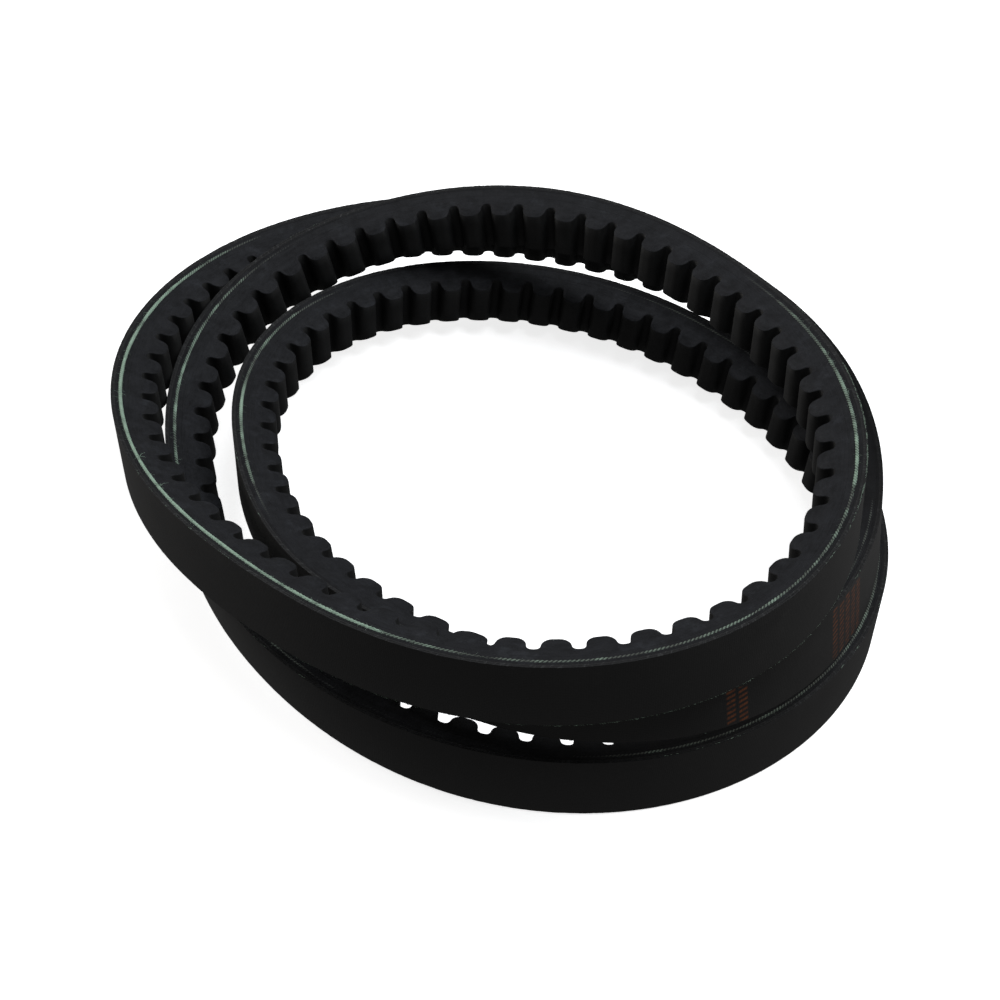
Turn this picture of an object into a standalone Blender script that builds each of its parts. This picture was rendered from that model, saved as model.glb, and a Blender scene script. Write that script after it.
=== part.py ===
"""Raw-edge V belt with moulded cogs, laid on its edge in a coil of three turns.

One endless belt, built as the plies that it is vulcanised from. Every ply follows one closed path: the
line that the tensile cords take through the coil, which goes round three times before it meets itself.
The section is a trapezium, wide at the back (outside the coil) and narrow at the cogs (inside it).

Metres, +Z up. The origin is on the floor, at the centre of the coil's box. Lengths below are in
millimetres until a point is handed to Blender.
"""

import math

import bmesh
import bpy
import numpy as np

MM = 0.001

# The belt's section. Depths are measured from the back towards the cog tips.
BACK_WIDTH = 13.0
BELT_THICKNESS = 7.8
FLANK_ANGLE = math.radians(20.0)
OUTER_FABRIC_DEPTHS = (0.0, 0.30)
INNER_FABRIC_DEPTHS = (0.42, 0.70)
CUSHION_DEPTHS = (0.82, 1.06)
CORD_DEPTH = 1.6
ADHESION_GUM_DEPTHS = (2.50, 2.80)
COMPRESSION_TOP_DEPTH = 2.92

# Tensile cords, side by side across the belt.
CORD_COUNT = 8
CORD_RADIUS = 0.4

# Cogs, one to each section of the path. A profile point is (share of the pitch, depth). The first
# cog starts a part of a pitch after the path's first station.
COG_COUNT = 169
COG_PHASE = 0.204
COG_HEIGHT = 2.9
COG_SHOULDER_DROP = 0.6
NOTCH_DEPTH = BELT_THICKNESS - COG_HEIGHT
SHOULDER_DEPTH = BELT_THICKNESS - COG_SHOULDER_DROP
COG_PROFILE = (
    (0.00, NOTCH_DEPTH),
    (0.10, SHOULDER_DEPTH),
    (0.18, BELT_THICKNESS),
    (0.58, BELT_THICKNESS),
    (0.66, SHOULDER_DEPTH),
    (0.76, NOTCH_DEPTH),
)

# The coil: eight stations to a turn, every 45 degrees, anticlockwise seen from above. Each row is
# (radius of the cord line, height of the lower back corner over the floor, outward lean of the
# upper edge in degrees).
STATIONS_PER_TURN = 8
COIL_STATIONS = (
    # top turn, from the front: it crosses the others and comes down at the left
    (59.4, 25.6, -0.1),  # front
    (62.4, 30.6, -7.6),
    (56.3, 31.2, -7.9),  # right
    (56.8, 25.0, 2.1),
    (67.4, 19.3, 4.3),  # back
    (73.3, 6.1, 9.5),
    (58.6, 0.0, 4.9),  # left
    (52.2, 0.2, 8.1),
    # bottom turn: it lies on the floor to the back, then climbs inside the others
    (55.8, 0.1, -0.3),  # front
    (63.7, 0.0, -4.4),
    (69.0, 0.0, -4.5),  # right
    (67.2, 0.0, 2.0),
    (67.3, 0.1, 6.0),  # back
    (60.6, 2.0, 8.7),
    (46.6, 6.3, 2.0),  # left
    (43.6, 11.6, 5.0),
    # middle turn: it stands on the bottom turn at the right and passes outside at the back and left
    (51.3, 16.2, -10.6),  # front
    (61.5, 16.0, -11.7),
    (65.5, 14.0, -12.3),  # right
    (72.8, 12.5, -9.6),
    (79.1, 9.3, -7.9),  # back
    (81.8, 5.4, 8.1),
    (67.7, 10.5, 3.7),  # left
    (55.9, 18.9, -0.9),
)
PATH_STEPS_PER_STATION = 200  # how finely the path is measured for its length

# Each material is (base colour, roughness).
MATERIALS = {
    "fabric": ((0.028, 0.028, 0.029), 0.85),
    "rubber": ((0.045, 0.047, 0.052), 0.70),
    "gum": ((0.030, 0.031, 0.034), 0.75),
    "cord": ((0.62, 0.74, 0.66), 0.80),
}


def spline_through(values):
    """A smooth closed curve through values at stations 0, 1, 2 and so on, as a function of the station."""
    values = np.asarray(values, float)
    count = len(values)
    eye = np.eye(count)
    system = 4 * eye + np.roll(eye, 1, axis=1) + np.roll(eye, -1, axis=1)
    slopes = np.linalg.solve(system, 3 * (np.roll(values, -1) - np.roll(values, 1)))

    def value_at(station):
        before = np.floor(station).astype(int) % count
        after = (before + 1) % count
        u = station - np.floor(station)
        rise = values[after] - values[before]
        bend_before = slopes[before] - rise
        bend_after = rise - slopes[after]
        return values[before] + u * rise + u * (1 - u) * ((1 - u) * bend_before + u * bend_after)

    return value_at


radius_at, lift_at, lean_at = (spline_through(column) for column in zip(*COIL_STATIONS))


def cord_line(station):
    """The cord line's points and the belt's lean at the given stations."""
    angle = 2 * math.pi * station / STATIONS_PER_TURN - math.pi / 2
    radius = radius_at(station)
    lean = np.radians(lean_at(station))
    lower_corner = CORD_DEPTH * np.sin(lean) + BACK_WIDTH / 2 * np.cos(lean)
    height = np.maximum(lift_at(station), 0) + lower_corner
    return np.stack([radius * np.cos(angle), radius * np.sin(angle), height], axis=1), lean


def evenly_spaced_stations(count, phase):
    """Stations that cut the closed path into equal lengths, the first a share of one after the start."""
    last = len(COIL_STATIONS)
    fine = np.linspace(0, last, last * PATH_STEPS_PER_STATION + 1)
    points, _ = cord_line(fine)
    lengths = np.concatenate([[0], np.cumsum(np.linalg.norm(np.diff(points, axis=0), axis=1))])
    return np.interp((np.arange(count) + phase) * lengths[-1] / count, lengths, fine)


class BeltPath:
    """The belt's sections, one for each cog: where each stands and which way it faces."""

    def __init__(self, count):
        stations = evenly_spaced_stations(count, COG_PHASE)
        step = 1 / PATH_STEPS_PER_STATION
        self.points, lean = cord_line(stations)
        ahead = cord_line(stations + step)[0] - cord_line(stations - step)[0]
        along = ahead / np.linalg.norm(ahead, axis=1, keepdims=True)
        outward = np.cross(along, (0, 0, 1))
        outward /= np.linalg.norm(outward, axis=1, keepdims=True)
        upward = np.cross(outward, along)
        cos_lean, sin_lean = np.cos(lean)[:, None], np.sin(lean)[:, None]
        self.outward = cos_lean * outward - sin_lean * upward
        self.upward = cos_lean * upward + sin_lean * outward

    def line(self, depth, across):
        """The line at a depth and a distance across the belt, a point for each section."""
        return self.points + self.outward * (CORD_DEPTH - depth) + self.upward * across

    def flank(self, depth, side):
        """The line where a depth meets the upper (side 1) or the lower (side -1) flank."""
        return self.line(depth, side * half_width(depth))


def half_width(depth):
    return BACK_WIDTH / 2 - depth * math.tan(FLANK_ANGLE)


def make_material(name):
    colour, roughness = MATERIALS[name]
    material = bpy.data.materials.new(name)
    material.use_nodes = True
    shader = material.node_tree.nodes["Principled BSDF"]
    shader.inputs["Base Color"].default_value = (*colour, 1.0)
    shader.inputs["Roughness"].default_value = roughness
    shader.inputs["Metallic"].default_value = 0.0
    return material


def add_object(name, data, material, collection, root):
    data.materials.append(material)
    piece = bpy.data.objects.new(name, data)
    piece.parent = root
    collection.objects.link(piece)
    return piece


def mesh_from_bmesh(name, bm):
    bmesh.ops.triangulate(bm, faces=bm.faces, quad_method="FIXED", ngon_method="EAR_CLIP")
    bmesh.ops.recalc_face_normals(bm, faces=bm.faces)
    mesh = bpy.data.meshes.new(name)
    bm.to_mesh(mesh)
    bm.free()
    return mesh


def add_line(bm, points):
    return [bm.verts.new(point * MM) for point in points]


def ply_mesh(name, path, depths):
    """A flat ply: a band with four corners, closed on itself round the whole coil."""
    bm = bmesh.new()
    outer, inner = depths
    upper_back = add_line(bm, path.flank(outer, 1))
    lower_back = add_line(bm, path.flank(outer, -1))
    upper_front = add_line(bm, path.flank(inner, 1))
    lower_front = add_line(bm, path.flank(inner, -1))
    for i in range(COG_COUNT):
        j = (i + 1) % COG_COUNT
        # every face runs from an upper corner to the next section's lower corner, so that the
        # faces of neighbouring plies fold along the same diagonal
        bm.faces.new((upper_back[i], lower_back[i], lower_back[j], upper_back[j]))
        bm.faces.new((upper_front[i], lower_front[i], lower_front[j], upper_front[j]))
        bm.faces.new((upper_back[i], upper_front[i], upper_front[j], upper_back[j]))
        bm.faces.new((lower_back[i], lower_front[i], lower_front[j], lower_back[j]))
    return mesh_from_bmesh(name, bm)


def cogged_mesh(name, path):
    """The compression rubber: a flat top under the gum and the row of cogs below it."""
    bm = bmesh.new()
    top = {side: add_line(bm, path.flank(COMPRESSION_TOP_DEPTH, side)) for side in (1, -1)}
    cogs = {1: [], -1: []}
    for side, rows in cogs.items():
        for share, depth in COG_PROFILE:
            here = path.flank(depth, side)
            rows.append(add_line(bm, here + (np.roll(here, -1, axis=0) - here) * share))
    for i in range(COG_COUNT):
        j = (i + 1) % COG_COUNT
        bm.faces.new((top[1][i], top[-1][i], top[-1][j], top[1][j]))
        profile = {side: [row[i] for row in rows] + [rows[0][j]] for side, rows in cogs.items()}
        for k in range(len(COG_PROFILE)):
            bm.faces.new((profile[1][k], profile[-1][k], profile[-1][k + 1], profile[1][k + 1]))
        for side in (1, -1):
            bm.faces.new([top[side][i], *profile[side], top[side][j]])
    return mesh_from_bmesh(name, bm)


def cord_curve(name, path, across):
    """One tensile cord, which goes round the whole coil at its own place across the belt."""
    curve = bpy.data.curves.new(name, "CURVE")
    curve.dimensions = "3D"
    curve.bevel_depth = CORD_RADIUS * MM
    curve.bevel_resolution = 0
    curve.resolution_u = 1
    points = path.line(CORD_DEPTH, across)[::2] * MM
    spline = curve.splines.new("POLY")
    spline.points.add(len(points) - 1)
    for point, place in zip(spline.points, points):
        point.co = (*place, 1.0)
    spline.use_cyclic_u = True
    return curve


def clear_scene():
    for old in list(bpy.data.objects):
        bpy.data.objects.remove(old, do_unlink=True)


def main():
    clear_scene()
    collection = bpy.data.collections.new("v_belt")
    bpy.context.scene.collection.children.link(collection)
    materials = {name: make_material(name) for name in MATERIALS}
    path = BeltPath(COG_COUNT)

    # the path's own axis is not the middle of the coil's box, so one empty brings the box to the origin
    back_edges = np.concatenate([path.flank(0, 1), path.flank(0, -1)])
    middle = (back_edges.min(axis=0) + back_edges.max(axis=0)) / 2
    root = bpy.data.objects.new("coil_centre", None)
    root.location = (-middle[0] * MM, -middle[1] * MM, 0)
    collection.objects.link(root)

    for name, depths, material in (
        ("outer_fabric_ply", OUTER_FABRIC_DEPTHS, "fabric"),
        ("inner_fabric_ply", INNER_FABRIC_DEPTHS, "fabric"),
        ("cushion_rubber", CUSHION_DEPTHS, "gum"),
        ("adhesion_gum", ADHESION_GUM_DEPTHS, "gum"),
    ):
        add_object(name, ply_mesh(name, path, depths), materials[material], collection, root)
    name = "compression_rubber"
    add_object(name, cogged_mesh(name, path), materials["rubber"], collection, root)

    outermost = half_width(CORD_DEPTH) - CORD_RADIUS
    for number, across in enumerate(np.linspace(outermost, -outermost, CORD_COUNT), start=1):
        name = f"tensile_cord_{number}"
        add_object(name, cord_curve(name, path, across), materials["cord"], collection, root)


main()
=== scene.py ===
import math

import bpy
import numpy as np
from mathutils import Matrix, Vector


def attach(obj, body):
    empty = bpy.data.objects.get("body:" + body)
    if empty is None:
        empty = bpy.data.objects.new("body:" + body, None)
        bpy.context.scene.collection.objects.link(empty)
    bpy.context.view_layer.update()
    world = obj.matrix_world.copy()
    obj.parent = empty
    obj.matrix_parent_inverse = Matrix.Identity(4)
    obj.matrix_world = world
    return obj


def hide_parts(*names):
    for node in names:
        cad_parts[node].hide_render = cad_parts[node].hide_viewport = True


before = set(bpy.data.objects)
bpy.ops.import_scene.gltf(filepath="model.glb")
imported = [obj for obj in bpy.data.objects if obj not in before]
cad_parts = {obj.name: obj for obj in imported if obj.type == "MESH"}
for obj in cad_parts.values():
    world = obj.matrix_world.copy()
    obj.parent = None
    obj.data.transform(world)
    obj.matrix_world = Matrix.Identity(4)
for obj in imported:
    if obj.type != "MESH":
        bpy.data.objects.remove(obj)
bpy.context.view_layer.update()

# A raw-edge V belt with moulded cogs, coiled in three turns and stood on its edge. The path and the
# section are the CAD's, repeated here so that every ply can be lofted finely along the same line.
# Lengths are in millimetres until a point reaches Blender. A place on the belt is three numbers:
# along (length from the front of the top turn), depth (from the back towards the cog tips) and
# across (0 in the middle, positive towards the upper flank).

MM = 0.001
random = np.random.default_rng(20)

# ---------------------------------------------------------------- the path and the section
BACK_WIDTH = 13.0
BELT_THICKNESS = 7.8
FLANK_ANGLE = math.radians(20.0)
CORD_DEPTH = 1.6
COG_COUNT = 169
COG_HEIGHT = 2.9
NOTCH_DEPTH = BELT_THICKNESS - COG_HEIGHT
# Depths of each ply's outer and inner face. Hairlines part them, where the CAD leaves wider gaps.
OUTER_FABRIC = (0.0, 0.36)
INNER_FABRIC = (0.37, 0.76)
CUSHION = (0.77, 1.15)
GUM = (1.16, 2.85)
COG_TOP = 2.86  # the cog rubber reaches from here to the tips
COG_PHASE = 0.204  # the CAD's first cog starts this share of the pitch after the path's first station
NOTCH_CENTRE = COG_PHASE + 0.88  # share of the pitch

STATIONS_PER_TURN = 8
COIL_STATIONS = (  # (radius of the cord line, height of the lower back corner, outward lean in degrees)
    (59.4, 25.6, -0.1), (62.4, 30.6, -7.6), (56.3, 31.2, -7.9), (56.8, 25.0, 2.1),
    (67.4, 19.3, 4.3), (73.3, 6.1, 9.5), (58.6, 0.0, 4.9), (52.2, 0.2, 8.1),
    (55.8, 0.1, -0.3), (63.7, 0.0, -4.4), (69.0, 0.0, -4.5), (67.2, 0.0, 2.0),
    (67.3, 0.1, 6.0), (60.6, 2.0, 8.7), (46.6, 6.3, 2.0), (43.6, 11.6, 5.0),
    (51.3, 16.2, -10.6), (61.5, 16.0, -11.7), (65.5, 14.0, -12.3), (72.8, 12.5, -9.6),
    (79.1, 9.3, -7.9), (81.8, 5.4, 8.1), (67.7, 10.5, 3.7), (55.9, 18.9, -0.9),
)
STATION_COUNT = len(COIL_STATIONS)
PATH_STEPS_PER_STATION = 400


def spline_through(values):
    """A smooth closed curve through values at stations 0, 1, 2 and so on."""
    values = np.asarray(values, float)
    count = len(values)
    eye = np.eye(count)
    system = 4 * eye + np.roll(eye, 1, axis=1) + np.roll(eye, -1, axis=1)
    slopes = np.linalg.solve(system, 3 * (np.roll(values, -1) - np.roll(values, 1)))

    def value_at(station):
        before = np.floor(station).astype(int) % count
        after = (before + 1) % count
        u = station - np.floor(station)
        rise = values[after] - values[before]
        bend_before = slopes[before] - rise
        bend_after = rise - slopes[after]
        return values[before] + u * rise + u * (1 - u) * ((1 - u) * bend_before + u * bend_after)

    return value_at


radius_at, lift_at, lean_at = (spline_through(column) for column in zip(*COIL_STATIONS))


def half_width(depth):
    return BACK_WIDTH / 2 - depth * math.tan(FLANK_ANGLE)


def cord_line(station):
    angle = 2 * math.pi * station / STATIONS_PER_TURN - math.pi / 2
    radius = radius_at(station)
    lean = np.radians(lean_at(station))
    lower_corner = CORD_DEPTH * np.sin(lean) + BACK_WIDTH / 2 * np.cos(lean)
    height = np.maximum(lift_at(station), 0) + lower_corner
    return np.stack([radius * np.cos(angle), radius * np.sin(angle), height], axis=1), lean


class Belt:
    """The belt's centre line at equal steps of length, with the directions of its section."""

    def __init__(self, steps):
        fine = np.linspace(0, STATION_COUNT, STATION_COUNT * PATH_STEPS_PER_STATION + 1)
        points, _ = cord_line(fine)
        pieces = np.linalg.norm(np.diff(points, axis=0), axis=1)
        self.fine_stations = fine
        self.fine_lengths = np.concatenate([[0], np.cumsum(pieces)])
        self.length = self.fine_lengths[-1]
        self.steps = steps
        stations = np.interp(np.arange(steps) * self.length / steps, self.fine_lengths, fine)
        reach = 1 / 200
        self.points, lean = cord_line(stations)
        ahead = cord_line(stations + reach)[0] - cord_line(stations - reach)[0]
        along = ahead / np.linalg.norm(ahead, axis=1, keepdims=True)
        outward = np.cross(along, (0, 0, 1))
        outward /= np.linalg.norm(outward, axis=1, keepdims=True)
        upward = np.cross(outward, along)
        cos_lean, sin_lean = np.cos(lean)[:, None], np.sin(lean)[:, None]
        self.outward = cos_lean * outward - sin_lean * upward
        self.upward = cos_lean * upward + sin_lean * outward
        # the CAD brings the middle of the coil's box to the origin
        cogs = (np.arange(COG_COUNT) + COG_PHASE) * self.length / COG_COUNT
        self.middle = np.zeros(3)
        corners = np.concatenate([self.at(cogs, 0, side * BACK_WIDTH / 2) for side in (1, -1)])
        self.middle[:2] = ((corners.min(axis=0) + corners.max(axis=0)) / 2)[:2]

    def at(self, along, depth, across):
        """Points at the given places on the belt, which may be arrays of any one shape."""
        along, depth, across = np.broadcast_arrays(along, depth, across)
        step = np.asarray(along, float) / self.length * self.steps
        before = np.floor(step).astype(int)
        share = (step - before)[..., None]
        before, after = before % self.steps, (before + 1) % self.steps

        def between(values):
            return values[before] * (1 - share) + values[after] * share

        return (between(self.points) + between(self.outward) * (CORD_DEPTH - depth)[..., None]
                + between(self.upward) * across[..., None] - self.middle)

    def along(self, station):
        station = np.asarray(station, float) % STATION_COUNT
        return np.interp(station, self.fine_stations, self.fine_lengths)

    def station(self, along):
        along = np.asarray(along, float) % self.length
        return np.interp(along, self.fine_lengths, self.fine_stations)


belt = Belt(9600)
PITCH = belt.length / COG_COUNT

# ---------------------------------------------------------------- the camera, at the photo's angle
CAMERA_ELEVATION = math.radians(44.695)
CAMERA_ROLL = math.radians(6.681)
CAMERA_DISTANCE = 258.16
CAMERA_AIM = (-0.031, -9.679, 20.0)  # on the path's own axes
CAMERA_LENS = 53.945

forward = Vector((0, math.cos(CAMERA_ELEVATION), -math.sin(CAMERA_ELEVATION)))
level_right = Vector((1, 0, 0))
level_up = Vector((0, math.sin(CAMERA_ELEVATION), math.cos(CAMERA_ELEVATION)))
right = math.cos(CAMERA_ROLL) * level_right + math.sin(CAMERA_ROLL) * level_up
up = -math.sin(CAMERA_ROLL) * level_right + math.cos(CAMERA_ROLL) * level_up
aim = (Vector(CAMERA_AIM) - Vector(belt.middle)) * MM
camera = bpy.data.objects.new("camera", bpy.data.cameras.new("camera"))
camera.data.lens = CAMERA_LENS
camera.data.sensor_width = 36.0
camera.data.clip_start = 0.01
camera.matrix_world = Matrix.Translation(aim - forward * CAMERA_DISTANCE * MM) @ Matrix(
    (right, up, -forward)).transposed().to_4x4()
bpy.context.scene.collection.objects.link(camera)
bpy.context.scene.camera = camera

# ---------------------------------------------------------------- materials


class Nodes:
    """A short way to wire a material: every method adds one node and returns its output."""

    def __init__(self, name):
        self.material = bpy.data.materials.new(name)
        self.material.use_nodes = True
        self.tree = self.material.node_tree
        self.shader = self.tree.nodes["Principled BSDF"]
        self.coordinates = self.tree.nodes.new("ShaderNodeTexCoord").outputs["Object"]
        uv = self.tree.nodes.new("ShaderNodeUVMap")
        uv.uv_map = "belt"
        split = self.tree.nodes.new("ShaderNodeSeparateXYZ")
        self.tree.links.new(uv.outputs["UV"], split.inputs[0])
        # millimetres along the belt and round its section
        self.along, self.round = split.outputs["X"], split.outputs["Y"]

    def put(self, socket, value):
        if isinstance(value, bpy.types.NodeSocket):
            self.tree.links.new(value, socket)
        elif value is not None:
            socket.default_value = value

    def math(self, operation, a, b=None, c=None):
        node = self.tree.nodes.new("ShaderNodeMath")
        node.operation = operation
        for socket, value in zip(node.inputs, (a, b, c)):
            self.put(socket, value)
        return node.outputs[0]

    def noise(self, size, detail=3.0, roughness=0.55, vector=None):
        """Noise with features of about that size, in millimetres or in the units of the given vector."""
        node = self.tree.nodes.new("ShaderNodeTexNoise")
        node.inputs["Scale"].default_value = 1 / size if vector is not None else 1 / (size * MM)
        node.inputs["Detail"].default_value = detail
        node.inputs["Roughness"].default_value = roughness
        self.put(node.inputs["Vector"], vector or self.coordinates)
        return node.outputs["Fac"]

    def vector(self, x, y, z=0.0):
        node = self.tree.nodes.new("ShaderNodeCombineXYZ")
        for socket, value in zip(node.inputs, (x, y, z)):
            self.put(socket, value)
        return node.outputs[0]

    def stretch(self, value, low, high, to_low=0.0, to_high=1.0):
        node = self.tree.nodes.new("ShaderNodeMapRange")
        for name, number in (("Value", value), ("From Min", low), ("From Max", high),
                             ("To Min", to_low), ("To Max", to_high)):
            self.put(node.inputs[name], number)
        return node.outputs[0]

    def mix(self, share, a, b):
        """Colour a where share is 0 and b where it is 1."""
        node = self.tree.nodes.new("ShaderNodeMix")
        node.data_type = "RGBA"
        self.put(node.inputs[0], share)
        for socket, value in ((node.inputs[6], a), (node.inputs[7], b)):
            self.put(socket, (*value, 1.0) if isinstance(value, tuple) else value)
        return node.outputs[2]

    def attribute(self, name):
        node = self.tree.nodes.new("ShaderNodeAttribute")
        node.attribute_name = name
        return node.outputs["Fac"]

    def bump(self, height, distance):
        node = self.tree.nodes.new("ShaderNodeBump")
        node.inputs["Distance"].default_value = distance * MM
        self.put(node.inputs["Height"], height)
        return node.outputs[0]

    def finish(self, colour, roughness, normal, specular):
        self.put(self.shader.inputs["Base Color"], colour)
        self.put(self.shader.inputs["Roughness"], roughness)
        self.put(self.shader.inputs["Normal"], normal)
        self.shader.inputs["Specular IOR Level"].default_value = specular
        return self.material


# Painted shade: where a cut flank lies under another turn, its colour is darkened as a shadow would
# darken it. The stations where it starts to darken, is dark, starts to clear and is clear.
PAINTED_SHADE_STRETCHES = ((7.0, 7.5, 9.0, 9.4), (17.55, 17.9, 18.7, 19.1))
PAINTED_SHADE_SHARE = 0.62
PAINTED_SHADE_COLOUR = (0.0015, 0.0015, 0.0017)


def with_painted_shade(n, colour):
    """The colour of a cut flank, darkened with painted shade along the stretches that lie under another
    turn.
    """
    for stations in PAINTED_SHADE_STRETCHES:
        starts, dark, clears, clean = (float(belt.along(station)) for station in stations)
        share = n.math("MULTIPLY", n.stretch(n.along, starts, dark),
                       n.stretch(n.along, clears, clean, 1.0, 0.0))
        colour = n.mix(n.math("MULTIPLY", share, PAINTED_SHADE_SHARE), colour, PAINTED_SHADE_COLOUR)
    return colour


def cut_rubber(name, dark, light, scuffed):
    """Ground or cut rubber: mottled, streaked along the belt by the grinding, and flecked with fibre."""
    n = Nodes(name)
    patches = n.noise(2.6, detail=5.0, roughness=0.62)
    grain = n.noise(0.22, detail=3.0, roughness=0.7)
    streaks = n.noise(1.0, detail=3.0, vector=n.vector(n.math("MULTIPLY", n.along, 0.25),
                                                       n.math("MULTIPLY", n.round, 5.0)))
    tone = n.math("ADD", n.math("MULTIPLY", patches, 0.55), n.math("MULTIPLY", grain, 0.45))
    tone = n.math("ADD", tone, n.math("MULTIPLY", n.math("SUBTRACT", streaks, 0.5), 0.35))
    colour = n.mix(n.stretch(tone, 0.37, 0.63), dark, light)
    worn = n.stretch(n.noise(4.5, detail=6.0, roughness=0.72), 0.54, 0.72)
    colour = n.mix(n.math("MULTIPLY", worn, 0.60), colour, scuffed)
    flecks = n.stretch(n.noise(0.16, detail=1.0), 0.70, 0.78)
    colour = n.mix(n.math("MULTIPLY", flecks, 0.35), colour, (0.065, 0.068, 0.072))
    height = n.math("ADD", grain, n.math("MULTIPLY", streaks, 0.8))
    # the colour is darkened with painted shade where the flank lies under another turn
    return n.finish(with_painted_shade(n, colour), n.stretch(tone, 0.3, 0.7, 0.82, 0.62), n.bump(height, 0.035), 0.2)


def moulded_rubber(name):
    """The faces of the cogs as they left the mould: even, smoother, with a little release dust."""
    n = Nodes(name)
    cloud = n.noise(4.0, detail=4.0, roughness=0.6)
    grain = n.noise(0.30, detail=3.0, roughness=0.65)
    colour = n.mix(n.stretch(cloud, 0.35, 0.68), (0.0076, 0.0078, 0.0080), (0.0132, 0.0134, 0.0137))
    dust = n.stretch(n.noise(1.1, detail=5.0, roughness=0.75), 0.60, 0.80)
    colour = n.mix(n.math("MULTIPLY", dust, 0.22), colour, (0.045, 0.045, 0.044))
    return n.finish(colour, n.stretch(grain, 0.3, 0.7, 0.52, 0.72), n.bump(grain, 0.030), 0.35)


# The print on the outer face: columns of plain slanted dashes, in two blocks on the middle turn.
PRINT_ROW = 1.10  # across the belt
PRINT_COLUMN = 2.15  # along the belt
PRINT_BLOCKS = (  # (station where a block starts, columns, lowest and highest place across, strength)
    (16.835, 2, -6.2, 1.2, 0.85),
    (17.31, 5, -6.2, 5.6, 0.50),
)
THREAD_SPACING = 0.50


def back_fabric(name):
    """Rubberised fabric, woven on the bias, with worn places and the printed dashes."""
    n = Nodes(name)
    # a whole number of threads goes round the belt, so that the weave has no seam
    threads = round(belt.length / math.sqrt(2) / THREAD_SPACING)
    per_mm = threads / belt.length * 2 * math.pi
    across = n.attribute("across")
    warp = n.math("SINE", n.math("MULTIPLY", n.math("ADD", n.along, across), per_mm))
    weft = n.math("SINE", n.math("MULTIPLY", n.math("SUBTRACT", n.along, across), per_mm))
    weave = n.math("MULTIPLY_ADD", n.math("MULTIPLY", warp, weft), 0.5, 0.5)
    cloud = n.noise(7.0, detail=5.0, roughness=0.6)
    grain = n.noise(0.25, detail=3.0, roughness=0.7)
    tone = n.math("ADD", n.math("MULTIPLY", cloud, 0.6), n.math("MULTIPLY", grain, 0.4))
    colour = n.mix(n.stretch(tone, 0.35, 0.66), (0.0098, 0.0096, 0.0096), (0.0210, 0.0206, 0.0203))
    colour = n.mix(n.math("MULTIPLY", weave, 0.22), colour, (0.034, 0.034, 0.034))
    rubbed = n.stretch(n.noise(3.2, detail=6.0, roughness=0.75), 0.60, 0.78)
    colour = n.mix(n.math("MULTIPLY", rubbed, 0.40), colour, (0.050, 0.048, 0.046))

    slanted = n.math("MULTIPLY_ADD", across, 0.15, n.along)
    row = n.math("DIVIDE", n.math("MULTIPLY_ADD", n.along, -0.30, across), PRINT_ROW)
    in_row = n.stretch(n.math("ABSOLUTE", n.math("SUBTRACT", n.math("FRACT", row), 0.5)), 0.34, 0.14)
    ink = None
    for station, columns, low, high, strength in PRINT_BLOCKS:
        start = float(belt.along(station))
        column = n.math("DIVIDE", n.math("SUBTRACT", slanted, start), PRINT_COLUMN)
        off_centre = n.math("ABSOLUTE", n.math("SUBTRACT", n.math("FRACT", column), 0.5))
        block = n.stretch(off_centre, 0.42, 0.28)
        for inside in (n.math("GREATER_THAN", column, 0), n.math("LESS_THAN", column, columns),
                       n.math("GREATER_THAN", across, low), n.math("LESS_THAN", across, high)):
            block = n.math("MULTIPLY", block, inside)
        block = n.math("MULTIPLY", block, strength)
        ink = block if ink is None else n.math("ADD", ink, block)
    faded = n.stretch(n.noise(0.9, detail=4.0, roughness=0.7), 0.34, 0.60, 0.25, 1.0)
    for part in (in_row, faded):
        ink = n.math("MULTIPLY", ink, part)
    colour = n.mix(ink, colour, (0.30, 0.085, 0.024))

    height = n.math("MULTIPLY_ADD", weave, 0.7, grain)
    return n.finish(colour, n.stretch(tone, 0.3, 0.7, 0.50, 0.66), n.bump(height, 0.030), 0.40)


def cut_fabric(name, dark, light):
    """The cut edge of a rubberised fabric ply: threads on end, as short pale strokes across the ply."""
    n = Nodes(name)
    threads = n.noise(1.0, detail=2.0, roughness=0.6, vector=n.vector(
        n.math("MULTIPLY_ADD", n.round, 1.6, n.math("MULTIPLY", n.along, 2.6)), n.round))
    grain = n.noise(0.15, detail=3.0, roughness=0.7)
    colour = n.mix(n.stretch(grain, 0.35, 0.68), dark, light)
    strokes = n.stretch(threads, 0.55, 0.74)
    colour = n.mix(n.math("MULTIPLY", strokes, 0.50), colour, (0.085, 0.088, 0.090))
    height = n.math("ADD", grain, threads)
    # the colour is darkened with painted shade where the flank lies under another turn
    return n.finish(with_painted_shade(n, colour), n.stretch(grain, 0.3, 0.7, 0.86, 0.70),
                    n.bump(height, 0.04), 0.30)


def cord_material(name):
    """Twisted polyester cord, dipped pale green: cleaner where it lies bare, greyer where rubber
    smears it."""
    n = Nodes(name)
    bare = n.attribute("bare")
    grain = n.noise(0.12, detail=3.0, roughness=0.7)
    smear = n.stretch(n.noise(1.7, detail=4.0, roughness=0.7), 0.52, 0.74)
    clean = n.mix(n.stretch(grain, 0.3, 0.7), (0.235, 0.350, 0.265), (0.420, 0.560, 0.450))
    grey = n.mix(n.stretch(grain, 0.3, 0.7), (0.060, 0.068, 0.060), (0.150, 0.165, 0.145))
    hidden = n.mix(n.stretch(grain, 0.3, 0.7), (0.0110, 0.0115, 0.0120), (0.0240, 0.0250, 0.0260))
    colour = n.mix(n.stretch(bare, 0.22, 0.50), hidden, grey)
    colour = n.mix(n.stretch(bare, 0.50, 0.85), colour, clean)
    colour = n.mix(n.stretch(n.attribute("groove"), 0.15, 0.60), colour, (0.020, 0.023, 0.021))
    colour = n.mix(n.math("MULTIPLY", smear, 0.40), colour, (0.045, 0.052, 0.048))
    return n.finish(colour, n.stretch(grain, 0.3, 0.7, 0.75, 0.90), n.bump(grain, 0.02), 0.30)


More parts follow.
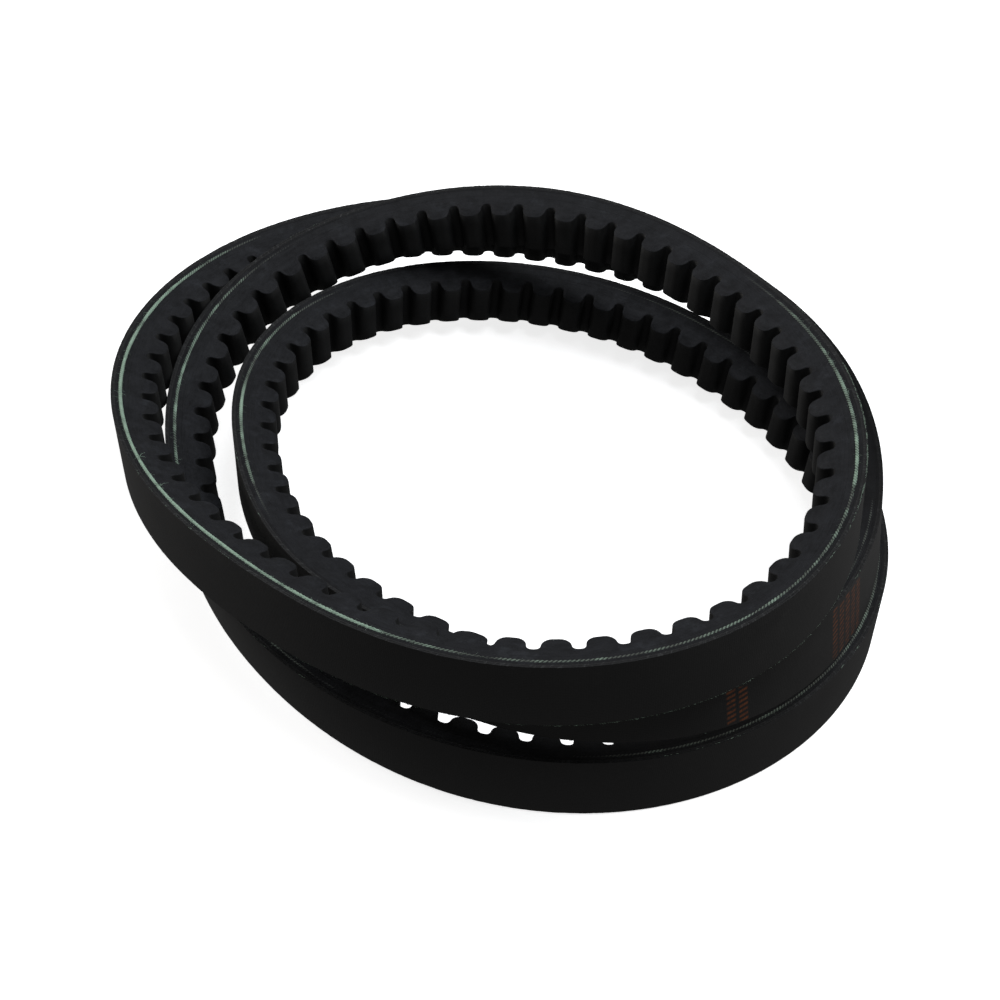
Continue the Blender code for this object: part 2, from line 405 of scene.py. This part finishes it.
BACK_FABRIC = back_fabric("back_fabric")
CUT_OUTER = cut_fabric("cut_outer_fabric", (0.0080, 0.0082, 0.0088), (0.0160, 0.0163, 0.0172))
CUT_INNER = cut_fabric("cut_inner_fabric", (0.0100, 0.0102, 0.0110), (0.0180, 0.0183, 0.0195))
CUT_CUSHION = cut_rubber("cut_cushion_rubber", (0.0070, 0.0073, 0.0084), (0.0135, 0.0141, 0.0162),
                         (0.022, 0.024, 0.027))
CUT_GUM = cut_rubber("cut_adhesion_gum", (0.0085, 0.0089, 0.0104), (0.0175, 0.0184, 0.0214),
                     (0.032, 0.035, 0.040))
CUT_COGS = cut_rubber("cut_cog_rubber", (0.0080, 0.0084, 0.0099), (0.0174, 0.0183, 0.0216),
                      (0.036, 0.039, 0.046))
MOULDED = moulded_rubber("moulded_cog_rubber")
CORD = cord_material("tensile_cord")

# ---------------------------------------------------------------- meshes


def loop_noise(count, spacing, amount):
    """Smooth seeded noise round a closed line of count points, with a bump every spacing points."""
    knots = random.normal(0, 1, max(4, round(count / spacing)))
    where = np.arange(count) * len(knots) / count
    before = np.floor(where).astype(int)
    share = where - before
    share = share * share * (3 - 2 * share)
    return amount * (knots[before % len(knots)] * (1 - share) + knots[(before + 1) % len(knots)] * share)


def ring_mesh(name, places, materials, row_materials=None, sharp=38, extra=None):
    """A band closed both ways, from an array of places (column, row, [along, depth, across]).
    Rows go round the section by way of the lower flank; row_materials is one index for each row, and
    extra is values for each column or for each place, kept as attributes."""
    columns, rows, _ = places.shape
    points = belt.at(places[..., 0], places[..., 1], places[..., 2]) * MM
    i, j = np.meshgrid(np.arange(columns), np.arange(rows), indexing="ij")
    i2, j2 = (i + 1) % columns, (j + 1) % rows
    corners = np.stack([i * rows + j, i * rows + j2, i2 * rows + j2, i2 * rows + j], axis=-1)
    faces = columns * rows
    mesh = bpy.data.meshes.new(name)
    mesh.vertices.add(columns * rows)
    mesh.vertices.foreach_set("co", points.astype(np.float32).ravel())
    mesh.loops.add(faces * 4)
    mesh.loops.foreach_set("vertex_index", corners.astype(np.int32).ravel())
    mesh.polygons.add(faces)
    mesh.polygons.foreach_set("loop_start", np.arange(0, faces * 4, 4, dtype=np.int32))
    if row_materials is not None:
        mesh.polygons.foreach_set("material_index", np.tile(np.array(row_materials, np.int32), columns))
    mesh.update(calc_edges=True)
    mesh.polygons.foreach_set("use_smooth", np.ones(faces, bool))
    mesh.set_sharp_from_angle(angle=math.radians(sharp))

    # u is the length along the belt and v the way round the section, both in millimetres
    section = places[0, :, 1:]
    steps = np.linalg.norm(np.roll(section, -1, axis=0) - section, axis=1)
    v = np.concatenate([[0], np.cumsum(steps)])
    u = places[:, :, 0]
    u_next = np.roll(u, -1, axis=0)
    u_next[-1] += belt.length
    u_corners = np.stack([u, np.roll(u, -1, axis=1), np.roll(u_next, -1, axis=1), u_next], axis=-1)
    v_corners = np.broadcast_to(np.stack([v[:-1], v[1:], v[1:], v[:-1]], axis=-1), u_corners.shape)
    layer = mesh.uv_layers.new(name="belt")
    layer.data.foreach_set("uv", np.stack([u_corners, v_corners], axis=-1).astype(np.float32).ravel())
    for key, values in (extra or {}).items():
        attribute = mesh.attributes.new(key, "FLOAT", "POINT")
        values = np.broadcast_to(values if values.ndim == 2 else values[:, None], (columns, rows))
        attribute.data.foreach_set("value", values.astype(np.float32).ravel())
    for material in materials:
        mesh.materials.append(material)
    piece = bpy.data.objects.new(name, mesh)
    bpy.context.scene.collection.objects.link(piece)
    return piece


def hand_over(piece, slot, *nodes):
    if nodes:
        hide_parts(*nodes)
    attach(piece, "root")


PLY_COLUMNS = 3400
FACE, EDGE = 0, 1  # a ply's material slots


def flat_ply(name, outer, inner, face_material, edge_material, corner=0.05, rounding=1, ragged=0.012):
    """A ply between two depths, its corners rounded so that a fine groove parts it from its neighbours.
    Rows go down the back, in along the lower flank, up the inner face and out along the upper flank."""
    along = np.arange(PLY_COLUMNS) * belt.length / PLY_COLUMNS
    inner_corner = 0.04
    turn = np.linspace(0, math.pi / 2, rounding + 2)
    section = [(outer, 0.0, FACE, 0.0)]  # depth, across, material, how ragged

    def quarter(depth_from, depth_sign, side, radius, angles):
        """A rounded corner between a face at depth_from and the flank on that side."""
        for angle in angles:
            depth = depth_from + depth_sign * radius * (1 - math.cos(angle))
            across = side * (half_width(depth) - radius * (1 - math.sin(angle)))
            section.append((depth, across, EDGE, 1.0))

    def end_of_edge():
        """The face that follows the last corner is not an edge any more."""
        depth, across, _, share = section[-1]
        section[-1] = (depth, across, FACE, share)

    quarter(outer, 1, -1, corner, turn)
    quarter(inner, -1, -1, inner_corner, turn[::-1])
    end_of_edge()
    quarter(inner, -1, 1, inner_corner, turn)
    quarter(outer, 1, 1, corner, turn[::-1])
    end_of_edge()
    places = np.zeros((PLY_COLUMNS, len(section), 3))
    places[..., 0] = along[:, None]
    frayed = {side: loop_noise(PLY_COLUMNS, 1.6, ragged) + loop_noise(PLY_COLUMNS, 9, ragged)
              for side in (1, -1)}
    for k, (depth, across, _, share) in enumerate(section):
        side = 1 if across > 0 else -1
        places[:, k, 1] = depth
        places[:, k, 2] = across - side * share * np.abs(frayed[side])
    return ring_mesh(name, places, (face_material, edge_material), [row[2] for row in section],
                     extra={"across": places[..., 2]})


outer_fabric = flat_ply("outer_fabric", *OUTER_FABRIC, BACK_FABRIC, CUT_OUTER, corner=0.13, rounding=2,
                        ragged=0.022)
hand_over(outer_fabric, "back_fabric", "outer_fabric_ply")
inner_fabric = flat_ply("inner_fabric", *INNER_FABRIC, CUT_INNER, CUT_INNER)
hand_over(inner_fabric, "inner_fabric", "inner_fabric_ply")
cushion = flat_ply("cushion", *CUSHION, CUT_CUSHION, CUT_CUSHION)
hand_over(cushion, "cushion_rubber", "cushion_rubber")

# ---------------------------------------------------------------- the edge cords
# How far each edge cord lies bare of the gum, from 0 to 1, at stations along the belt.
UPPER_BARE = (
    (0.0, 0.62), (0.25, 0.45), (0.8, 0.52), (1.1, 0.66), (1.5, 0.76), (2.1, 0.76), (2.6, 0.62),
    (2.85, 0.35), (3.1, 0.12), (4.0, 0.08), (4.7, 0.12), (5.0, 0.30), (5.2, 0.60), (5.5, 0.76),
    (5.9, 0.84), (6.9, 0.80), (7.5, 0.20), (8.3, 0.20), (8.6, 0.50), (9.6, 0.52), (10.0, 0.46),
    (10.4, 0.20), (10.9, 0.30), (11.3, 0.42), (12.0, 0.06), (12.65, 0.15), (12.92, 0.52),
    (13.3, 0.72), (13.7, 0.78), (14.1, 0.78), (14.4, 0.60), (14.7, 0.30), (15.0, 0.05), (16.0, 0.15),
    (17.0, 0.30), (17.8, 0.36), (18.0, 0.12), (19.0, 0.06), (20.0, 0.06), (20.9, 0.15),
    (21.12, 0.66), (21.4, 0.97), (22.0, 1.0), (23.0, 1.0), (23.6, 0.90), (24.0, 0.62),
)
LOWER_BARE = (
    (0.0, 0.45), (3.0, 0.60), (6.0, 0.35), (9.0, 0.55), (13.0, 0.40), (18.0, 0.60), (24.0, 0.45),
)
STRAND_RADIUS = 0.37
STRAND_COLUMNS = 9600
CORD_TWISTS = 620
LAY_LENGTH = belt.length / CORD_TWISTS
YARNS = 3
BURIED, UNCOVERED = 0.44, 0.12  # how far the cord's middle lies behind the flank's face, hidden and bare


def bare_at(along, table):
    stations, values = zip(*table)
    return np.interp(belt.station(along), stations, values)


def cord_inset(bare):
    return BURIED - (BURIED - UNCOVERED) * bare


def edge_cord(name, side, table, *nodes):
    along = np.arange(STRAND_COLUMNS) * belt.length / STRAND_COLUMNS
    bare = bare_at(along, table)
    uneven = loop_noise(STRAND_COLUMNS, 14, 0.12) + loop_noise(STRAND_COLUMNS, 90, 0.10)
    bare = np.clip(bare * (1 + uneven), 0, 1.05)
    rows = 8
    ring = np.arange(rows) / rows * 2 * math.pi
    lay = 2 * math.pi * along / LAY_LENGTH
    # yarns twisted together: the outline turns with the lay
    lobes = np.abs(np.cos((ring[None, :] - lay[:, None]) * YARNS / 2))
    radius = STRAND_RADIUS * (0.72 + 0.28 * lobes) * (1 + loop_noise(STRAND_COLUMNS, 30, 0.04))[:, None]
    groove = (1 - lobes) * np.clip(1.95 - 1.7 * bare, 0.20, 1)[:, None]
    wander = loop_noise(STRAND_COLUMNS, 60, 0.025)[:, None]
    places = np.zeros((STRAND_COLUMNS, rows, 3))
    places[..., 0] = along[:, None]
    # ring 0 points out of the flank; the ring turns the same way as a ply's rows
    outwards = radius * np.cos(ring)
    sideways = radius * np.sin(ring)
    depth = CORD_DEPTH + wander + sideways * side
    places[..., 1] = depth
    places[..., 2] = side * (half_width(CORD_DEPTH) - cord_inset(bare)[:, None] + outwards
                             - wander * math.tan(FLANK_ANGLE))
    piece = ring_mesh(name, places, (CORD,), sharp=180,
                      extra={"bare": np.clip(bare, 0, 1), "groove": groove})
    hand_over(piece, "tensile_cord", *nodes)


edge_cord("edge_cord_upper", 1, UPPER_BARE, "tensile_cord_1")
edge_cord("edge_cord_lower", -1, LOWER_BARE, "tensile_cord_8")
for number in range(2, 8):  # these lie inside the gum
    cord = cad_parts[f"tensile_cord_{number}"]
    cord.data.materials.clear()
    cord.data.materials.append(CORD)


# ---------------------------------------------------------------- the gum round the cords
def gum_body():
    along = np.arange(PLY_COLUMNS) * belt.length / PLY_COLUMNS
    outer, inner = GUM
    flank = ((outer + 0.03, 0.0), (1.24, 0.0), (1.38, 0.03), (CORD_DEPTH, 0.10), (1.82, 0.03),
             (1.98, 0.0), (inner - 0.01, 0.0))  # (depth, how far the flank sinks beside a bare cord)
    rows = [(outer, -(half_width(outer) - 0.03), None)]
    rows += [(depth, -half_width(depth), sink) for depth, sink in flank]
    rows += [(inner, -(half_width(inner) - 0.02), None), (inner, half_width(inner) - 0.02, None)]
    rows += [(depth, half_width(depth), sink) for depth, sink in reversed(flank)]
    rows += [(outer, half_width(outer) - 0.03, None)]
    places = np.zeros((PLY_COLUMNS, len(rows), 3))
    places[..., 0] = along[:, None]
    bare = {1: bare_at(along, UPPER_BARE), -1: bare_at(along, LOWER_BARE)}
    uneven = {side: np.abs(loop_noise(PLY_COLUMNS, 5, 0.010)) for side in (1, -1)}
    for k, (depth, across, sink) in enumerate(rows):
        side = 1 if across > 0 else -1
        places[:, k, 1] = depth
        places[:, k, 2] = across - side * ((sink or 0) * bare[side] + uneven[side])
    return ring_mesh("gum", places, (CUT_GUM,))


hand_over(gum_body(), "adhesion_gum", "adhesion_gum")


# ---------------------------------------------------------------- the cogs
def rounded(corners, radii, steps):
    """A polyline with its corners rounded to the given radii, as points and their normals."""
    points, normals = [], []
    corners = np.asarray(corners, float)
    for k in range(1, len(corners) - 1):
        a, b, c = corners[k - 1], corners[k], corners[k + 1]
        before, after = (a - b) / np.linalg.norm(a - b), (c - b) / np.linalg.norm(c - b)
        half = math.acos(float(np.clip(before @ after, -1, 1))) / 2
        reach = radii[k - 1] / math.tan(half)
        start, end = b + before * reach, b + after * reach
        centre = b + (before + after) / np.linalg.norm(before + after) * radii[k - 1] / math.sin(half)
        first_angle = np.arctan2(*(start - centre)[::-1])
        last_angle = np.arctan2(*(end - centre)[::-1])
        sweep = (last_angle - first_angle + math.pi) % (2 * math.pi) - math.pi
        for share in np.linspace(0, 1, steps):
            angle = first_angle + sweep * share
            direction = np.array([math.cos(angle), math.sin(angle)])
            points.append(centre + direction * radii[k - 1])
            turns_left = after[0] * before[1] - after[1] * before[0] > 0
            normals.append(direction * (1 if turns_left else -1))
    return np.array(points), np.array(normals)


ROOT_RADIUS = 0.94
TIP_RADIUS = 1.85
CORNER_POINTS = 6
NOTCH_POINTS = 2 * CORNER_POINTS  # the outline's points before the flat of the tip
COG_CHAMFER = 0.09


def cog_outline():
    """One notch and the cog after it: (along, depth) from the middle of a notch to the next one's,
    with the way out of the rubber at each point."""
    root, wall = 1.00, 1.34  # half the notch's width at its root and at the cog tips
    corners = [(-1.0, NOTCH_DEPTH), (root, NOTCH_DEPTH), (wall, BELT_THICKNESS),
               (PITCH - wall, BELT_THICKNESS), (PITCH - root, NOTCH_DEPTH), (PITCH + 1.0, NOTCH_DEPTH)]
    return rounded(corners, (ROOT_RADIUS, TIP_RADIUS, TIP_RADIUS, ROOT_RADIUS), CORNER_POINTS)


def cogs():
    outline, ways = cog_outline()
    # the flat of the notch and of the tip
    flat_notch, flat_tip = [(0.0, NOTCH_DEPTH)], [(PITCH / 2, BELT_THICKNESS)]
    outline = np.concatenate([flat_notch, outline[:NOTCH_POINTS], flat_tip, outline[NOTCH_POINTS:]])
    straight_in = np.array([[0.0, 1.0]])
    ways = np.concatenate([straight_in, ways[:NOTCH_POINTS], straight_in, ways[NOTCH_POINTS:]])
    ways[ways[:, 1] < 0] *= -1
    along = NOTCH_CENTRE * PITCH + np.arange(COG_COUNT)[:, None] * PITCH + outline[None, :, 0]
    depth = np.broadcast_to(outline[None, :, 1], along.shape).copy()
    # no two cogs leave the mould quite alike
    taller = random.normal(0, 0.03, COG_COUNT)[:, None]
    depth += taller * np.clip((outline[None, :, 1] - NOTCH_DEPTH) / COG_HEIGHT, 0, 1)
    along, depth = along.ravel(), depth.ravel()
    way = np.tile(ways, (COG_COUNT, 1))
    edge_along = along - way[:, 0] * COG_CHAMFER
    edge_depth = depth - way[:, 1] * COG_CHAMFER
    under_top = COG_TOP + 0.02
    mid_flank = 4.0  # the flank is cut across here, so that the notches leave the rows above it even
    upper = [  # the rows of the upper flank, from the cogs to the top
        (along, depth, half_width(depth) - COG_CHAMFER),
        (edge_along, edge_depth, half_width(edge_depth)),
        (along, mid_flank, half_width(mid_flank)),
        (along, under_top, half_width(under_top)),
    ]
    top_edge = half_width(COG_TOP) - 0.02
    rows = [(along, COG_TOP, top_edge), (along, COG_TOP, -top_edge)]
    rows += [(s, d, -across) for s, d, across in reversed(upper)]
    rows += [(along, depth, -half_width(depth) * 0.45), (along, depth, half_width(depth) * 0.45)]
    rows += upper
    places = np.zeros((len(along), len(rows), 3))
    for k, (row_along, row_depth, row_across) in enumerate(rows):
        places[:, k, 0], places[:, k, 1], places[:, k, 2] = row_along, row_depth, row_across
    moulded = (5, 6, 7)
    materials = [1 if k in moulded else 0 for k in range(len(rows))]
    return ring_mesh("cogs", places, (CUT_COGS, MOULDED), materials)


hand_over(cogs(), "cog_rubber", "compression_rubber")


# ---------------------------------------------------------------- loose fibres
def hairs(name, lines, radii, material, bare):
    """Fine fibres as tapered three-sided tubes; lines is (hair, point, [along, depth, across])."""
    count, points, _ = lines.shape
    centre = belt.at(lines[..., 0], lines[..., 1], lines[..., 2]) * MM
    ahead = np.gradient(centre, axis=1)
    ahead /= np.linalg.norm(ahead, axis=2, keepdims=True) + 1e-12
    first = np.cross(ahead, (0.3, 0.2, 0.93))
    first /= np.linalg.norm(first, axis=2, keepdims=True) + 1e-12
    second = np.cross(ahead, first)
    taper = np.linspace(1.0, 0.45, points)[None, :, None, None]
    ring = np.arange(3) * 2 * math.pi / 3
    wide = radii[:, None, None, None] * MM * taper
    tube = (centre[:, :, None, :] + wide * (np.cos(ring)[None, None, :, None] * first[:, :, None, :]
                                            + np.sin(ring)[None, None, :, None] * second[:, :, None, :]))
    faces = []
    for h in range(count):
        base = h * points * 3
        faces.append((base + 2, base + 1, base))
        for p in range(points - 1):
            for k in range(3):
                a, b = base + p * 3 + k, base + p * 3 + (k + 1) % 3
                faces.append((a, b, b + 3, a + 3))
        end = base + (points - 1) * 3
        faces.append((end, end + 1, end + 2))
    mesh = bpy.data.meshes.new(name)
    mesh.from_pydata(tube.reshape(-1, 3).tolist(), [], faces)
    mesh.uv_layers.new(name="belt")
    attribute = mesh.attributes.new("bare", "FLOAT", "POINT")
    attribute.data.foreach_set("value", np.repeat(bare, points * 3).astype(np.float32))
    mesh.polygons.foreach_set("use_smooth", np.ones(len(mesh.polygons), bool))
    mesh.materials.append(material)
    piece = bpy.data.objects.new(name, mesh)
    bpy.context.scene.collection.objects.link(piece)
    return piece


HAIR_POINTS = 5


def cord_fuzz(count):
    """Short fibres that stand off the bare edge cord, mostly along it."""
    along = random.uniform(0, belt.length, count * 4)
    bare = bare_at(along, UPPER_BARE)
    keep = random.uniform(0, 1, len(along)) < np.clip((bare - 0.3) * 1.4, 0, 1)
    along, bare = along[keep][:count], bare[keep][:count]
    number = len(along)
    t = np.linspace(0, 1, HAIR_POINTS)[None, :]
    length = random.uniform(0.25, 0.9, number)[:, None]
    heading = random.normal(0, 0.5, number)[:, None] + random.integers(0, 2, number)[:, None] * math.pi
    curl = random.normal(0, 0.5, number)[:, None]
    lines = np.zeros((number, HAIR_POINTS, 3))
    lines[..., 0] = along[:, None] + length * t * np.cos(heading + curl * t)
    offset = random.uniform(-0.26, 0.26, number)[:, None]
    lines[..., 1] = CORD_DEPTH + offset + length * t * np.sin(heading + curl * t)
    rise = random.uniform(0.0, 0.20, number)[:, None]
    above = STRAND_RADIUS - cord_inset(bare)[:, None] - np.abs(offset) * 0.5
    lines[..., 2] = half_width(lines[..., 1]) + above + rise * t - 0.10 * t * t
    return lines, random.uniform(0.012, 0.024, number), np.clip(bare, 0, 1)


def stray_fibres():
    """The few long fibres pulled out of the cord: (station, way along, way into the belt, length)."""
    strays = ((21.95, -0.3, -1.0, 0.9), (22.33, -0.5, 1.0, 1.5), (22.335, 0.1, 1.0, 1.1),
              (22.34, -1.0, 0.6, 1.2), (22.52, -0.2, 1.0, 1.9), (22.525, 0.5, 0.8, 0.9),
              (2.02, 0.8, -0.4, 0.7), (5.45, 0.8, 0.4, 0.6),
              (23.1, 0.7, -0.8, 1.0), (23.62, -0.5, -1.0, 0.9))
    t = np.linspace(0, 1, HAIR_POINTS)
    lines = np.zeros((len(strays), HAIR_POINTS, 3))
    for k, (station, way_along, way_in, length) in enumerate(strays):
        bend = random.normal(0, 0.35)
        lines[k, :, 0] = float(belt.along(station)) + length * t * (way_along + bend * t)
        lines[k, :, 1] = CORD_DEPTH + math.copysign(0.15, way_in) + length * way_in * t
        lines[k, :, 2] = half_width(lines[k, :, 1]) + 0.10 + 0.25 * np.sin(t * 2.4)
    return lines, np.full(len(strays), 0.030), np.ones(len(strays))


# Where the fabric's corners are frayed: (first station, last station, side, tufts).
FRAYED = ((22.35, 23.1, 1, 9), (23.3, 24.3, -1, 50), (0.2, 1.3, -1, 150), (1.3, 1.9, -1, 30),
          (1.35, 2.2, 1, 95), (3.6, 4.9, 1, 8), (12.2, 12.9, 1, 12), (8.6, 10.2, 1, 14),
          (6.0, 7.4, 1, 6), (13.0, 14.8, 1, 7), (16.6, 17.6, 1, 8), (2.0, 12.0, -1, 22),
          (12.0, 23.0, -1, 22), (1.0, 1.35, 1, 4), (2.2, 3.4, 1, 6))


def frayed_corners():
    lines, wide = [], []
    t = np.linspace(0, 1, HAIR_POINTS)
    for first, last, side, tufts in FRAYED:
        for station in random.uniform(first, last, tufts):
            centre = float(belt.along(station % STATION_COUNT))
            spread = random.uniform(0.15, 0.55)
            for _ in range(random.integers(4, 12)):
                line = np.zeros((HAIR_POINTS, 3))
                length = random.uniform(0.15, 0.50)
                heading = random.normal(0, 0.7) + (math.pi if random.uniform() < 0.5 else 0)
                start = centre + random.normal(0, spread)
                line[:, 0] = start + length * t * math.cos(heading)
                depth = 0.06 + random.uniform(0, 0.15)
                line[:, 1] = depth + 0.20 * length * math.sin(heading) * t - 0.06 * t
                rise = 0.12 * t + 0.08 * np.sin(t * 3 + heading)
                line[:, 2] = side * (half_width(depth) - 0.10 + rise)
                lines.append(line)
                wide.append(random.uniform(0.024, 0.052))
    return np.array(lines), np.array(wide), np.full(len(lines), 0.68)


FUZZ_COUNT = 1500
fuzz, strays = cord_fuzz(FUZZ_COUNT), stray_fibres()
loose = [np.concatenate([a, b]) for a, b in zip(fuzz, strays)]
hand_over(hairs("cord_fibres", loose[0], loose[1], CORD, loose[2]), "tensile_cord")
frays = frayed_corners()
hand_over(hairs("frayed_corners", frays[0], frays[1], CORD, frays[2]), "back_fabric")


# ---------------------------------------------------------------- floor and light
FLOOR_GLOW = 0.80  # with the lamps this brings the floor to the white of the surround
FILL_LIGHT = 0.11  # how strongly the surround lights the belt


def stage_floor():
    mesh = bpy.data.meshes.new("floor")
    reach = 3.0
    mesh.from_pydata([(-reach, -reach, 0), (reach, -reach, 0), (reach, reach, 0), (-reach, reach, 0)],
                     [], [(0, 1, 2, 3)])
    n = bpy.data.materials.new("floor")
    n.use_nodes = True
    shader = n.node_tree.nodes["Principled BSDF"]
    shader.inputs["Base Color"].default_value = (0.90, 0.90, 0.90, 1.0)
    shader.inputs["Roughness"].default_value = 0.9
    shader.inputs["Specular IOR Level"].default_value = 0.1
    shader.inputs["Emission Color"].default_value = (1.0, 1.0, 1.0, 1.0)
    shader.inputs["Emission Strength"].default_value = FLOOR_GLOW
    mesh.materials.append(n)
    floor = bpy.data.objects.new("floor", mesh)
    floor.location.z = -0.0003  # just under the belt's lowest point
    floor.visible_diffuse = False
    floor.visible_glossy = False
    bpy.context.scene.collection.objects.link(floor)


def soft_light(name, place, size, power, colour=(1, 1, 1)):
    light = bpy.data.lights.new(name, "AREA")
    light.shape = "SQUARE"
    light.size = size
    light.energy = power
    light.color = colour
    lamp = bpy.data.objects.new(name, light)
    lamp.location = place
    lamp.rotation_euler = (Vector((0, 0, 0.02)) - Vector(place)).to_track_quat("-Z", "Y").to_euler()
    bpy.context.scene.collection.objects.link(lamp)


stage_floor()
soft_light("top_light", (0.32, 0.14, 0.92), 0.8, 6.9, (0.94, 0.97, 1.0))
soft_light("left_light", (-0.95, 0.40, 0.30), 0.5, 5.2, (1.0, 0.98, 0.95))
soft_light("right_light", (0.95, 0.35, 0.28), 0.5, 1.8, (1.0, 0.98, 0.95))

world = bpy.data.worlds.new("studio")
world.use_nodes = True
background = world.node_tree.nodes["Background"]
seen = world.node_tree.nodes.new("ShaderNodeLightPath").outputs["Is Camera Ray"]
strength = world.node_tree.nodes.new("ShaderNodeMapRange")
world.node_tree.links.new(seen, strength.inputs["Value"])
strength.inputs["To Min"].default_value = FILL_LIGHT
strength.inputs["To Max"].default_value = 1.0
world.node_tree.links.new(strength.outputs[0], background.inputs["Strength"])
background.inputs["Color"].default_value = (1, 1, 1, 1)
bpy.context.scene.world = world
bpy.context.scene.view_settings.view_transform = "Standard"
